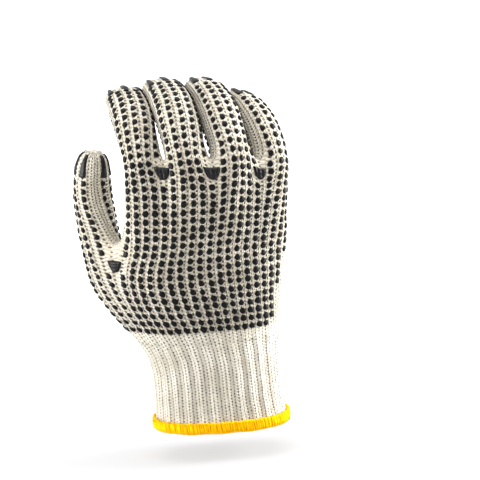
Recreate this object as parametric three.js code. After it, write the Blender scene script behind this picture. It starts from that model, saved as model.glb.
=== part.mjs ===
// Cotton work glove, string knit with PVC grip dots, in the shape it keeps while worn.
// Millimetres. +Z runs from the wrist opening up through the fingers, -Y is the back of the hand,
// -X is the thumb side. The origin is the centre of the wrist opening.
import * as THREE from "three";

// Driving sizes
const KNIT_WALL = 1.9;
const PIECE_GAP = 0.3;
const CUFF_LENGTH = 58;
const HEEL_LENGTH = 61;
const PALM_LENGTH = 53;
const WRIST_HALF_WIDTH = 40.4;
const WRIST_HALF_DEPTH = 26.5;
const PALM_HALF_WIDTH = 53;
const PALM_HALF_DEPTH = 20;
const PALM_ARCH = 2.5;
const PALM_TURN = 12;
const FINGER_HALF_WIDTH = 12.8;
const FINGER_HALF_DEPTH = 11.6;
const FINGER_LENGTH = 80;
const RIB_COUNT = 27;
const RIB_FACETS = 4;
const RIB_DEPTH = 0.9;
const RIB_WALL = 2.4;
const HEM_HEIGHT = 6.4;
const HEM_WALL = 1.3;
const PVC_LIFT = 0.6;
const PVC_THICK = 0.9;
const PATCH_WIDTH = 10.5;
const PATCH_HEIGHT = 8.2;
const BAR_LENGTH = 14.5;
const BAR_WIDE = 4.6;
const BAR_NARROW = 2.4;

// Wales (knitted columns) round one side of a digit, and the squareness of every section
const SIDE_WALES = 2;
const RING_POWER = 2.25;
const THUMB_CROTCH = CUFF_LENGTH + HEEL_LENGTH;

// One row per digit. x and y place the centre of its root as shares of the palm half width and
// half depth, up is a share of PALM_LENGTH above the thumb crotch; wide and deep are shares of the
// finger half sizes; long is a share of FINGER_LENGTH; roll turns its back face toward the little
// finger side at root and tip; bend leans it toward the palm at root and tip; drift is the heading
// of that bend; flat is the share of its depth lost at the tip; wales are counted across its back.
const DIGITS = {
  index: {
    x: -0.745, y: -0.3, up: 1, wide: 1.01, deep: 1, long: 0.955,
    roll: [-4, 12], bend: [17, 97], drift: -13, flat: 0.3, wales: 10,
  },
  middle: {
    x: -0.203, y: -0.55, up: 1, wide: 1.05, deep: 1, long: 1.03,
    roll: [6, 20], bend: [17, 94], drift: -16, flat: 0.3, wales: 10,
  },
  ring: {
    x: 0.328, y: -0.35, up: 1, wide: 0.99, deep: 1, long: 1.01,
    roll: [36, 34], bend: [18, 95], drift: -18.5, flat: 0.3, wales: 10,
  },
  little: {
    x: 0.8, y: 0.22, up: 0.905, wide: 0.9, deep: 0.93, long: 0.83,
    roll: [60, 54], bend: [17, 89], drift: -24.5, flat: 0.3, wales: 8,
  },
  thumb: {
    x: -1.302, y: 0.45, up: 0.02, wide: 1.04, deep: 1.05, long: 0.78,
    roll: [-58, -84], bend: [14, -12], drift: -80, flat: 0.08, wales: 8,
  },
};

// The fall of a digit from root to tip: along is a share of its length, wide and deep are shares
// of its own root size.
const TAPER = [
  { along: 0.0, wide: 0.89, deep: 1.0 },
  { along: 0.08, wide: 0.9, deep: 1.0 },
  { along: 0.18, wide: 0.96, deep: 0.99 },
  { along: 0.3, wide: 1.01, deep: 0.99 },
  { along: 0.42, wide: 1.02, deep: 1.0 },
  { along: 0.54, wide: 1.01, deep: 0.99 },
  { along: 0.66, wide: 0.99, deep: 0.96 },
  { along: 0.78, wide: 0.97, deep: 0.92 },
  { along: 0.88, wide: 0.93, deep: 0.84 },
  { along: 0.945, wide: 0.83, deep: 0.7 },
  { along: 0.985, wide: 0.6, deep: 0.46 },
];

// The cuff, from the hem up to the hand: up is a share of CUFF_LENGTH; shift moves the centre
// toward the little finger, as a share of the wrist half width; wide and deep are shares of the
// wrist half sizes.
const CUFF_ROWS = [
  { up: 0.0, shift: 0.0, wide: 1.045, deep: 1.06 },
  { up: 0.12, shift: -0.007, wide: 1.04, deep: 1.05 },
  { up: 0.26, shift: -0.02, wide: 1.015, deep: 1.02 },
  { up: 0.43, shift: -0.032, wide: 1.0, deep: 1.0 },
  { up: 0.6, shift: -0.035, wide: 1.0, deep: 0.99 },
  { up: 0.78, shift: -0.054, wide: 1.02, deep: 0.98 },
  { up: 0.9, shift: -0.089, wide: 1.065, deep: 0.98 },
  { up: 1.0, shift: -0.124, wide: 1.12, deep: 0.98 },
];

// The hand between cuff and thumb crotch: thumb_side and little_side are the shares of the way
// from the wrist section to the section at the thumb crotch.
const HAND_ROWS = [
  { up: 0.0, thumb_side: 0.0, little_side: 0.0 },
  { up: 0.08, thumb_side: 0.14, little_side: 0.05 },
  { up: 0.18, thumb_side: 0.31, little_side: 0.12 },
  { up: 0.28, thumb_side: 0.46, little_side: 0.2 },
  { up: 0.38, thumb_side: 0.63, little_side: 0.3 },
  { up: 0.49, thumb_side: 0.79, little_side: 0.42 },
  { up: 0.6, thumb_side: 0.91, little_side: 0.56 },
  { up: 0.71, thumb_side: 0.98, little_side: 0.7 },
  { up: 0.81, thumb_side: 0.99, little_side: 0.82 },
  { up: 0.91, thumb_side: 1.01, little_side: 0.92 },
  { up: 1.0, thumb_side: 1.0, little_side: 1.0 },
];
const PALM_STEPS = 8;
const FINGERS = ["index", "middle", "ring", "little"];
const FRONT_STEPS = 4;
const SIDE_STEPS = 2;

const rad = THREE.MathUtils.degToRad;
const mix = THREE.MathUtils.lerp;
const ease = THREE.MathUtils.smoothstep;

// A rounded ring measured by its own length, from the middle of its -X side round the back of the
// hand: returns a function of the share of the way round.
function ringShape(halfWide, halfDeep) {
  const steps = 240;
  const points = [];
  for (let i = 0; i <= steps; i += 1) {
    const angle = Math.PI + (2 * Math.PI * i) / steps;
    const c = Math.cos(angle);
    const s = Math.sin(angle);
    const power = 2 / RING_POWER;
    points.push([
      halfWide * Math.sign(c) * Math.abs(c) ** power,
      halfDeep * Math.sign(s) * Math.abs(s) ** power,
    ]);
  }
  const reach = [0];
  for (let i = 1; i <= steps; i += 1) {
    const [x, y] = points[i - 1];
    reach.push(reach[i - 1] + Math.hypot(points[i][0] - x, points[i][1] - y));
  }
  return (share) => {
    const want = (((share % 1) + 1) % 1) * reach[steps];
    let i = 1;
    while (i < steps && reach[i] < want) i += 1;
    const t = (want - reach[i - 1]) / (reach[i] - reach[i - 1] || 1);
    return [mix(points[i - 1][0], points[i][0], t), mix(points[i - 1][1], points[i][1], t)];
  };
}

// Shares of the way round for the columns of a loop: back face, far side, palm face, near side.
function loopShares(frontSteps, sideShare) {
  const shares = [];
  const face = 0.5 - sideShare;
  for (let i = 0; i < frontSteps; i += 1) shares.push(sideShare / 2 + (face * i) / frontSteps);
  const sideStep = sideShare / SIDE_STEPS;
  for (let i = 0; i < SIDE_STEPS; i += 1) shares.push(sideShare / 2 + face + sideStep * i);
  for (let i = 0; i < frontSteps; i += 1) shares.push(0.5 + sideShare / 2 + (face * i) / frontSteps);
  for (let i = 0; i < SIDE_STEPS; i += 1) shares.push(1 - sideShare / 2 + sideStep * i);
  return shares;
}

// The centre and turned axes of a digit at a distance along it.
function digitFrame(digit, along) {
  const length = digit.long * FINGER_LENGTH;
  const share = along / length;
  const from = rad(digit.bend[0]);
  const to = rad(digit.bend[1]);
  const bend = mix(from, to, share);
  const radius = length / (to - from);
  const rise = radius * (Math.sin(bend) - Math.sin(from));
  const reach = radius * (Math.cos(from) - Math.cos(bend));
  const heading = rad(digit.drift);
  const roll = rad(mix(digit.roll[0], digit.roll[1], ease(share, 0, 0.6)));
  const hinge = new THREE.Vector3(-Math.cos(heading), Math.sin(heading), 0);
  const across = new THREE.Vector3(Math.cos(roll), Math.sin(roll), 0).applyAxisAngle(hinge, bend);
  const back = new THREE.Vector3(Math.sin(roll), -Math.cos(roll), 0).applyAxisAngle(hinge, bend);
  const centre = new THREE.Vector3(
    digit.x * PALM_HALF_WIDTH + reach * Math.sin(heading),
    digit.y * PALM_HALF_DEPTH + reach * Math.cos(heading),
    THUMB_CROTCH + digit.up * PALM_LENGTH + rise,
  );
  return { centre, across, back };
}

function tableAt(rows, key, at, column) {
  let i = 1;
  while (i < rows.length - 1 && rows[i][key] < at) i += 1;
  const t = (at - rows[i - 1][key]) / (rows[i][key] - rows[i - 1][key]);
  return mix(rows[i - 1][column], rows[i][column], Math.min(1, Math.max(0, t)));
}

// The closed section of a digit at a distance along it.
function digitLoop(digit, along) {
  const share = along / (digit.long * FINGER_LENGTH);
  const wide = digit.wide * FINGER_HALF_WIDTH * tableAt(TAPER, "along", share, "wide");
  const deep = digit.deep * FINGER_HALF_DEPTH * tableAt(TAPER, "along", share, "deep");
  const shape = ringShape(wide, deep * (1 - digit.flat * ease(share, 0.5, 0.95)));
  const natural = SIDE_WALES / (2 * (digit.wales + SIDE_WALES));
  const sideShare = mix(0.16, natural, ease(share, 0.03, 0.2));
  const frame = digitFrame(digit, along);
  return loopShares(FRONT_STEPS, sideShare).map((s) => {
    const [x, y] = shape(s);
    return frame.centre.clone().addScaledVector(frame.across, x).addScaledVector(frame.back, -y);
  });
}

// The wrist section at a height, from a list of shares round it.
function wristLoop(height, shares, grow = 0) {
  const up = height / CUFF_LENGTH;
  const wide = WRIST_HALF_WIDTH * tableAt(CUFF_ROWS, "up", up, "wide") + grow;
  const deep = WRIST_HALF_DEPTH * tableAt(CUFF_ROWS, "up", up, "deep") + grow;
  const shift = WRIST_HALF_WIDTH * tableAt(CUFF_ROWS, "up", up, "shift");
  const shape = ringShape(wide, deep);
  return shares.map((s) => {
    const [x, y] = shape(s);
    return new THREE.Vector3(x + shift, y, height);
  });
}

const middleOf = (a, b) => a.clone().add(b).multiplyScalar(0.5);

function softened(loop, times) {
  let now = loop.map((p) => p.clone());
  for (let n = 0; n < times * 2; n += 1) {
    const amount = n % 2 ? -0.46 : 0.5;
    now = now.map((p, i) => {
      const before = now[(i + now.length - 1) % now.length];
      const after = now[(i + 1) % now.length];
      return p.clone().lerp(middleOf(before, after), amount);
    });
  }
  return now;
}

// The knitted hand as one skin: rows of vertex numbers, with shared vertices at every crotch. Its
// faces are kept by node: the heel, the palm with the roots of all five digits, and each digit.
const skin = [];
const facesOf = {};
const held = new Set();
const put = (p) => skin.push(p.clone()) - 1;
function addFaces(node, ...triangles) {
  facesOf[node] = [...(facesOf[node] ?? []), ...triangles];
}
function band(node, low, high) {
  for (let i = 0; i < low.length; i += 1) {
    const j = (i + 1) % low.length;
    addFaces(node, [low[i], low[j], high[j]], [low[i], high[j], high[i]]);
  }
}

// Roots of the fingers, welded where neighbours meet
const F = FRONT_STEPS;
const S = SIDE_STEPS;
const rootLoops = FINGERS.map((name) => digitLoop(DIGITS[name], 0));
const across = F * FINGERS.length;
const knuckleBack = [];
const knucklePalm = [];
const webs = [];
rootLoops.forEach((loop, n) => {
  for (let i = n === 0 ? 0 : 1; i < F; i += 1) knuckleBack.push(loop[i]);
  const next = rootLoops[n + 1];
  knuckleBack.push(next ? middleOf(loop[F], next[0]) : loop[F]);
});
rootLoops.forEach((loop, n) => {
  const palmFace = (l, i) => l[2 * F + S - i];
  for (let i = n === 0 ? 0 : 1; i < F; i += 1) knucklePalm.push(palmFace(loop, i));
  const next = rootLoops[n + 1];
  knucklePalm.push(next ? middleOf(palmFace(loop, F), palmFace(next, 0)) : palmFace(loop, F));
  if (next) {
    const web = [];
    for (let i = 1; i < S; i += 1) web.push(middleOf(loop[F + i], next[2 * F + 2 * S - i]));
    webs.push(web);
  }
});
const farSide = rootLoops[FINGERS.length - 1].slice(F + 1, F + S);
const nearSide = rootLoops[0].slice(2 * F + S + 1);
const knuckles = [...knuckleBack, ...farSide, ...[...knucklePalm].reverse(), ...nearSide];

// The palm section at the thumb crotch, the root of the thumb and the two welded
const palmSide = 0.045;
const palmShares = loopShares(across, palmSide);
const palmShape = ringShape(PALM_HALF_WIDTH, PALM_HALF_DEPTH);
const turn = rad(PALM_TURN);
const palmRing = palmShares.map((s) => {
  const [x, y] = palmShape(s);
  const arch = -PALM_ARCH * (1 - (x / PALM_HALF_WIDTH) ** 2);
  return new THREE.Vector3(
    x * Math.cos(turn) - (y + arch) * Math.sin(turn) * 0.4 - PALM_HALF_WIDTH * 0.038,
    x * Math.sin(turn) + y + arch - PALM_HALF_DEPTH * 0.05,
    THUMB_CROTCH,
  );
});
const thumbRoot = digitLoop(DIGITS.thumb, 0);
const crotchFront = middleOf(palmRing[0], thumbRoot[F]);
const crotchPalm = middleOf(palmRing[2 * across + S], thumbRoot[F + S]);
const thumbWeb = [];
for (let i = 1; i < S; i += 1) {
  thumbWeb.push(middleOf(palmRing[2 * across + 2 * S - i], thumbRoot[F + i]));
}
const unionLoop = [
  ...thumbRoot.slice(0, F),
  crotchFront,
  ...palmRing.slice(1, 2 * across + S),
  crotchPalm,
  ...thumbRoot.slice(F + S + 1),
];
const palmLoop = [
  crotchFront,
  ...palmRing.slice(1, 2 * across + S),
  crotchPalm,
  ...[...thumbWeb].reverse(),
];

// Rows from the cuff to the thumb crotch
const wristSteps = F + across;
const wristSide = SIDE_WALES / 96;
const wristShares = loopShares(wristSteps, wristSide);
const softUnion = softened(unionLoop, 4);
const handRows = [];
const HEEL_END = HAND_ROWS.length - 2;
HAND_ROWS.forEach((row, n) => {
  const wrist = wristLoop(CUFF_LENGTH, wristShares);
  const ids = unionLoop.map((top, i) => {
    if (n === HAND_ROWS.length - 1) return put(top);
    const toLittle = ease(softUnion[i].x / PALM_HALF_WIDTH, -1.13, 0.75);
    const way = mix(row.thumb_side, row.little_side, toLittle);
    const p = wrist[i].clone().lerp(softUnion[i], way);
    p.z = mix(CUFF_LENGTH + PIECE_GAP, softUnion[i].z, row.up);
    const pull = row.up ** 4;
    return put(p.addScaledVector(top.clone().sub(softUnion[i]), pull));
  });
  if (n < 1) ids.forEach((id) => held.add(id));
  handRows.push(ids);
  if (n) band(n <= HEEL_END ? "knitted_heel" : "knitted_palm", handRows[n - 1], ids);
});

// Rows of the palm from the thumb crotch to the finger crotches
const top = handRows[handRows.length - 1];
const webIds = thumbWeb.map(put);
const palmBase = [...top.slice(F, F + 2 * across + S + 1), ...[...webIds].reverse()];
const thumbBase = [
  ...top.slice(0, F + 1),
  ...webIds,
  ...top.slice(F + 2 * across + S),
];
const softKnuckles = softened(knuckles, 3);
const palmRows = [palmBase];
for (let n = 1; n <= PALM_STEPS; n += 1) {
  const up = n / PALM_STEPS;
  const ids = knuckles.map((k, i) => {
    if (n === PALM_STEPS) return put(k);
    const p = palmRing[i].clone().lerp(softKnuckles[i], ease(up, -0.3, 1.15));
    p.z = mix(palmRing[i].z, softKnuckles[i].z, up);
    p.addScaledVector(palmLoop[i].clone().sub(palmRing[i]), (1 - up) ** 4);
    return put(p.addScaledVector(k.clone().sub(softKnuckles[i]), up ** 5));
  });
  palmRows.push(ids);
  band("knitted_palm", palmRows[n - 1], ids);
}

// Fingers and thumb: each starts on its welded root and closes at the tip
const digitRows = {};
function growDigit(name, base) {
  const digit = DIGITS[name];
  const length = digit.long * FINGER_LENGTH;
  const root = digitLoop(digit, 0);
  const fade = length * (name === "thumb" ? 0.35 : 0.16);
  const rows = [base];
  TAPER.slice(1).forEach((step, n) => {
    const along = step.along * length;
    const keep = Math.max(0, 1 - along / fade) ** 2;
    const loop = digitLoop(digit, along);
    const ids = loop.map((p, i) => put(p.addScaledVector(skin[base[i]].clone().sub(root[i]), keep)));
    band(n === 0 ? "knitted_palm" : `knitted_${name}`, rows[rows.length - 1], ids);
    rows.push(ids);
  });
  const last = rows[rows.length - 1];
  const tip = put(digitFrame(digit, length).centre);
  held.add(tip);
  last.forEach((id, i) => addFaces(`knitted_${name}`, [id, last[(i + 1) % last.length], tip]));
  digitRows[name] = rows;
}
const knuckleIds = palmRows[PALM_STEPS];
const webIdsOf = webs.map((web) => web.map(put));
FINGERS.forEach((name, n) => {
  const back = knuckleIds.slice(n * F, n * F + F + 1);
  const farIds =
    n === FINGERS.length - 1 ? knuckleIds.slice(across + 1, across + S) : webIdsOf[n];
  const palmAt = (i) => knuckleIds[2 * across + S - i];
  const palm = [];
  for (let i = F; i >= 0; i -= 1) palm.push(palmAt(n * F + i));
  const nearIds = n === 0 ? knuckleIds.slice(2 * across + S + 1) : [...webIdsOf[n - 1]].reverse();
  growDigit(name, [...back, ...farIds, ...palm, ...nearIds]);
});
growDigit("thumb", thumbBase);
const faces = Object.values(facesOf).flat();

// Ease the whole skin so that crotches and knuckles run together as cloth does
function relax(times) {
  const around = skin.map(() => new Set());
  faces.forEach(([a, b, c]) => {
    around[a].add(b).add(c);
    around[b].add(a).add(c);
    around[c].add(a).add(b);
  });
  for (let n = 0; n < times * 2; n += 1) {
    const amount = n % 2 ? -0.47 : 0.5;
    const was = skin.map((p) => p.clone());
    skin.forEach((p, i) => {
      if (held.has(i)) return;
      const mean = new THREE.Vector3();
      around[i].forEach((j) => mean.add(was[j]));
      p.lerp(mean.multiplyScalar(1 / around[i].size), amount);
    });
  }
}
relax(2);

function skinNormals() {
  const normals = skin.map(() => new THREE.Vector3());
  faces.forEach(([a, b, c]) => {
    const n = skin[b].clone().sub(skin[a]).cross(skin[c].clone().sub(skin[a]));
    normals[a].add(n);
    normals[b].add(n);
    normals[c].add(n);
  });
  return normals.map((n) => n.normalize());
}
const normals = skinNormals();
handRows[0].forEach((id) => normals[id].setZ(0).normalize());

function solid(points, triangles) {
  const geometry = new THREE.BufferGeometry();
  const numbers = points.flatMap((p) => [p.x, p.y, p.z]);
  geometry.setAttribute("position", new THREE.Float32BufferAttribute(numbers, 3));
  geometry.setIndex(triangles.flat());
  return geometry;
}

const group = new THREE.Group();
group.name = "cotton_work_glove";
function add(name, geometry, colour, roughness = 0.9) {
  const material = new THREE.MeshStandardMaterial({ color: colour, roughness });
  const mesh = new THREE.Mesh(geometry, material);
  mesh.name = name;
  group.add(mesh);
}

// One node of the hand: outer skin, inner skin and a rim round each open end. A node that carries
// on from another starts PIECE_GAP from it: start is its first row, next the row after that.
function knitNode(node, start = [], next = []) {
  const ids = [...new Set(facesOf[node].flat())];
  const number = new Map(ids.map((id, i) => [id, i]));
  const toward = new Map(start.map((id, i) => [id, skin[next[i]]]));
  const outer = ids.map((id) => {
    const p = skin[id].clone();
    const ahead = toward.get(id);
    return ahead ? p.lerp(ahead, PIECE_GAP / p.distanceTo(ahead)) : p;
  });
  const inner = ids.map((id, i) => outer[i].clone().addScaledVector(normals[id], -KNIT_WALL));
  const count = ids.length;
  const triangles = facesOf[node].map((face) => face.map((id) => number.get(id)));
  const edges = triangles.flatMap(([a, b, c]) => [[a, b], [b, c], [c, a]]);
  const known = new Set(edges.map(([a, b]) => a * count + b));
  const backs = triangles.map(([a, b, c]) => [a + count, c + count, b + count]);
  const rims = edges
    .filter(([a, b]) => !known.has(b * count + a))
    .flatMap(([a, b]) => [[a, a + count, b], [b, a + count, b + count]]);
  add(node, solid([...outer, ...inner], [...triangles, ...backs, ...rims]), 0xe9dfca);
}
knitNode("knitted_heel");
knitNode("knitted_palm", handRows[HEEL_END], handRows[HEEL_END + 1]);
Object.entries(digitRows).forEach(([name, rows]) => knitNode(`knitted_${name}`, rows[1], rows[2]));

// A closed ring of rows of points: outer rows run up, inner rows run down.
function ringSolid(rows) {
  const points = rows.flat();
  const n = rows[0].length;
  const triangles = [];
  rows.forEach((row, r) => {
    const next = (r + 1) % rows.length;
    for (let i = 0; i < n; i += 1) {
      const j = (i + 1) % n;
      triangles.push([r * n + i, r * n + j, next * n + j]);
      triangles.push([r * n + i, next * n + j, next * n + i]);
    }
  });
  return solid(points, triangles);
}

// Rib cuff: outer face with its ribs, smooth inner face
{
  const columns = RIB_COUNT * RIB_FACETS;
  const shares = Array.from({ length: columns }, (_, i) => i / columns);
  const floor = HEM_WALL + PIECE_GAP;
  const heights = CUFF_ROWS.map((row) => Math.max(floor, row.up * CUFF_LENGTH));
  const outer = heights.map((height) => {
    const line = wristLoop(height, shares);
    const valley = wristLoop(height, shares, -RIB_DEPTH);
    const fade = 1 - ease(height, CUFF_LENGTH * 0.82, CUFF_LENGTH);
    const grip = ease(height, HEM_HEIGHT, HEM_HEIGHT * 1.6);
    return line.map((p, i) => {
      const rib = 1 - Math.abs(Math.cos((i * Math.PI) / RIB_FACETS)) ** 3;
      return p.clone().lerp(valley[i], fade * (1 - rib) * mix(0.4, 1, grip));
    });
  });
  const inner = heights.map((height) => wristLoop(height, shares, -RIB_WALL)).reverse();
  add("rib_cuff", ringSolid([...outer, ...inner]), 0xe6dcc6);
}

// Overlocked hem: a band that folds over the free edge of the cuff, outside and inside
{
  const columns = 48;
  const shares = Array.from({ length: columns }, (_, i) => i / columns);
  const outside = PIECE_GAP + HEM_WALL;
  const inside = -RIB_WALL - PIECE_GAP - HEM_WALL;
  const profile = [
    [outside * 0.7, HEM_HEIGHT * 0.04],
    [outside * 1.15, HEM_HEIGHT * 0.25],
    [outside * 1.12, HEM_HEIGHT * 0.75],
    [outside * 0.75, HEM_HEIGHT * 0.95],
    [PIECE_GAP, HEM_HEIGHT],
    [PIECE_GAP, HEM_WALL],
    [-RIB_WALL - PIECE_GAP, HEM_WALL],
    [-RIB_WALL - PIECE_GAP, HEM_HEIGHT * 0.87],
    [inside, HEM_HEIGHT * 0.78],
    [inside, HEM_HEIGHT * 0.19],
    [inside + HEM_WALL * 0.6, 0],
  ];
  const rows = profile.map(([out, height]) =>
    wristLoop(height, shares, out).map((p, i) => {
      const waver = HEM_WALL * 0.09 * Math.sin((i * 2 * Math.PI * 7) / columns);
      return height > HEM_HEIGHT * 0.73 ? p.setZ(height + waver) : p;
    }),
  );
  add("overlocked_hem", ringSolid(rows), 0xf6c400, 0.7);
}

// A place on the skin and the way out from it, at a column and row between its vertices.
function gridPoint(rows, column, row) {
  const r0 = Math.min(rows.length - 2, Math.max(0, Math.floor(row)));
  const tr = row - r0;
  const n = rows[0].length;
  const c0 = Math.floor(column);
  const tc = column - c0;
  const at = (c) => ((c % n) + n) % n;
  const blend = (list) => {
    const low = list[rows[r0][at(c0)]].clone().lerp(list[rows[r0][at(c0 + 1)]], tc);
    const high = list[rows[r0 + 1][at(c0)]].clone().lerp(list[rows[r0 + 1][at(c0 + 1)]], tc);
    return low.lerp(high, tr);
  };
  return { place: blend(skin), out: blend(normals).normalize() };
}
// A thin plate that lies over the skin on a grid of such places.
function plateOver(grid, lift, thick) {
  const n = grid[0].length;
  const m = grid.length;
  const low = [];
  const high = [];
  grid.forEach((line, r) => {
    line.forEach(({ place, out }, c) => {
      const edge = r === 0 || r === m - 1 || c === 0 || c === n - 1;
      low.push(place.clone().addScaledVector(out, lift));
      high.push(place.clone().addScaledVector(out, lift + (edge ? thick * 0.45 : thick)));
    });
  });
  const base = low.length;
  const triangles = [];
  for (let r = 0; r < m - 1; r += 1) {
    for (let c = 0; c < n - 1; c += 1) {
      const a = r * n + c;
      const b = a + 1;
      const d = a + n;
      const e = d + 1;
      triangles.push([base + a, base + b, base + e], [base + a, base + e, base + d]);
      triangles.push([a, e, b], [a, d, e]);
    }
  }
  const edge = [];
  for (let c = 0; c < n - 1; c += 1) edge.push([c, c + 1]);
  for (let r = 0; r < m - 1; r += 1) edge.push([r * n + n - 1, (r + 1) * n + n - 1]);
  for (let c = n - 1; c > 0; c -= 1) edge.push([(m - 1) * n + c, (m - 1) * n + c - 1]);
  for (let r = m - 1; r > 0; r -= 1) edge.push([r * n, (r - 1) * n]);
  edge.forEach(([a, b]) => triangles.push([a, b, base + b], [a, base + b, base + a]));
  return solid([...low, ...high], triangles);
}

// Half moon patches just below each crotch, one on each face: fingers counts the fingers on its
// thumb side, drop sets its flat top below the crotch as a share of its height.
const PATCHES = [
  { name: "index_middle", fingers: 1, drop: 0.39 },
  { name: "middle_ring", fingers: 2, drop: 0.49 },
  { name: "ring_little", fingers: 3, drop: 0.58 },
];
const THUMB_PATCH_DROP = 0.75;
function patchGrid(rows, column, topRow, rowHeight) {
  const near = rows[Math.floor(topRow) - 1];
  const pitch = skin[near[column - 1]].distanceTo(skin[near[column + 1]]) / 2;
  const grid = [];
  const lines = 4;
  const bits = 6;
  for (let r = 0; r <= lines; r += 1) {
    const down = 1 - r / lines;
    const half = (PATCH_WIDTH / 2) * Math.sqrt(Math.max(0.06, 1 - (down * 0.93) ** 2));
    const line = [];
    for (let c = 0; c <= bits; c += 1) {
      const x = mix(-half, half, c / bits);
      line.push(gridPoint(rows, column + x / pitch, topRow - (down * PATCH_HEIGHT) / rowHeight));
    }
    grid.push(line);
  }
  return grid;
}
const palmRowHeight = PALM_LENGTH / PALM_STEPS;
PATCHES.forEach((patch) => {
  const topRow = PALM_STEPS - (patch.drop * PATCH_HEIGHT) / palmRowHeight;
  const backColumn = patch.fingers * F;
  const palmColumn = 2 * across + S - backColumn;
  [["back", backColumn], ["palm", palmColumn]].forEach(([face, column]) => {
    const grid = patchGrid(palmRows, column, topRow, palmRowHeight);
    add(`${face}_patch_${patch.name}`, plateOver(grid, PVC_LIFT, PVC_THICK), 0x17171a, 0.45);
  });
});
{
  const rowHeight = HEEL_LENGTH / (HAND_ROWS.length - 1);
  const topRow = HAND_ROWS.length - 1 - (THUMB_PATCH_DROP * PATCH_HEIGHT) / rowHeight;
  [["back", F], ["palm", 2 * (F + across) + S - F]].forEach(([face, column]) => {
    const grid = patchGrid(handRows, column, topRow, rowHeight);
    add(`${face}_patch_thumb`, plateOver(grid, PVC_LIFT, PVC_THICK), 0x17171a, 0.45);
  });
}

// Tapered bars over each fingertip, three on each face
const BAR_SPOTS = [
  { name: "near", across: 0.16 },
  { name: "middle", across: 0.5 },
  { name: "far", across: 0.84 },
];
const BAR_FOOT = 0.74;
Object.keys(DIGITS).forEach((digitName) => {
  const digit = DIGITS[digitName];
  const length = digit.long * FINGER_LENGTH;
  const rows = digitRows[digitName];
  const rowAt = (along) => {
    let i = 1;
    while (i < TAPER.length - 1 && TAPER[i].along < along) i += 1;
    return i - 1 + (along - TAPER[i - 1].along) / (TAPER[i].along - TAPER[i - 1].along);
  };
  ["back", "palm"].forEach((face) => {
    BAR_SPOTS.forEach((spot) => {
      const grid = [];
      const end = BAR_FOOT + BAR_LENGTH / length;
      const between = (a) => a > BAR_FOOT + 0.02 && a < end - 0.02;
      const stops = TAPER.map((step) => step.along).filter(between);
      [BAR_FOOT, ...stops, end].forEach((along) => {
        const row = rowAt(along);
        const wide = mix(BAR_WIDE, BAR_NARROW, (along - BAR_FOOT) / (end - BAR_FOOT));
        const size = FINGER_HALF_WIDTH * digit.wide;
        const girth = 2 * Math.PI * size * tableAt(TAPER, "along", along, "wide");
        const step = girth / 2 / (F + S * 0.4);
        const line = [];
        for (let c = 0; c <= 2; c += 1) {
          const shift = ((c - 1) * wide) / 2 / step;
          const place = face === "back" ? spot.across * F : 2 * F + S - spot.across * F;
          line.push(gridPoint(rows, place + shift, row));
        }
        grid.push(line);
      });
      add(`${digitName}_${face}_bar_${spot.name}`, plateOver(grid, PVC_LIFT, PVC_THICK), 0x151517, 0.45);
    });
  });
});

export default group;
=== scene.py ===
import math

import bpy
import numpy as np
from mathutils import Matrix, Vector, noise


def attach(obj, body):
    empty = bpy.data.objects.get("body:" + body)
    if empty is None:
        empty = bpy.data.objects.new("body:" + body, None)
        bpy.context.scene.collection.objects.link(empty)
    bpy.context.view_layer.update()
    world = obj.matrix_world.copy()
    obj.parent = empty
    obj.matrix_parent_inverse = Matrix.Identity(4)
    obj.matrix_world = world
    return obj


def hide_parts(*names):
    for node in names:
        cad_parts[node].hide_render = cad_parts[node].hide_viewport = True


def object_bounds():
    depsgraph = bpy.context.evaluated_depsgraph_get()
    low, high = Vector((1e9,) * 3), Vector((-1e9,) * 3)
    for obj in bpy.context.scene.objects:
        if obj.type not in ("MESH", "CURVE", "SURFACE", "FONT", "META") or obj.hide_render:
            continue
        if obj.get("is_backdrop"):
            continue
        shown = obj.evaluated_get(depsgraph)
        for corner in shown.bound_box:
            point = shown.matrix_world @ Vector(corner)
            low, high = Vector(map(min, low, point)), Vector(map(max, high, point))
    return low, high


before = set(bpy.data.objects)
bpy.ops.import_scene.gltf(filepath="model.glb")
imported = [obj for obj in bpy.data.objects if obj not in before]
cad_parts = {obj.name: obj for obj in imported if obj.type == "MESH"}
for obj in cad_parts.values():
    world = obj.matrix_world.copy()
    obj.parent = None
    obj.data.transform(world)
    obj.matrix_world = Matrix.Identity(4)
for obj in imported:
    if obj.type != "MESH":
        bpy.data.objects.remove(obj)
cad_low, cad_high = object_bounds()

# Knitted hand
# Hand and cuff of the real glove come off one machine as a single skin of thick undyed cotton
# string: 46 knitted columns (wales) on each face and 2 round each side. The skin is laid out here
# in the sizes of the solids, in millimetres, with one column of quads to a wale.
MM = 1000
CUFF_LENGTH, HEEL_LENGTH, PALM_LENGTH = 58.0, 61.0, 53.0
WRIST_HALF_WIDTH, WRIST_HALF_DEPTH = 40.4, 26.5
PALM_HALF_WIDTH, PALM_HALF_DEPTH = 53.0, 20.0
PALM_ARCH, PALM_TURN = 2.5, 12.0
FINGER_HALF_WIDTH, FINGER_HALF_DEPTH, FINGER_LENGTH = 12.8, 11.6, 80.0
THUMB_CROTCH = CUFF_LENGTH + HEEL_LENGTH
FINGER_CROTCH = THUMB_CROTCH + PALM_LENGTH
RING_POWER, RING_STEPS = 2.25, 720
SIDE_WALES, SIDE_WALE_WIDTH = 2, 1.5
FACE_WALES = 46
PALM_FIRST = FACE_WALES + 3
COURSE, SIDE_COURSES = 2.45, 1.3
KNIT_WALL = 1.9
ROOT_SIDE, PALM_SIDE = 0.16, 0.045
PALM_SKEW, PALM_SHIFT, PALM_SINK = 0.4, 0.038, 0.05
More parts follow.
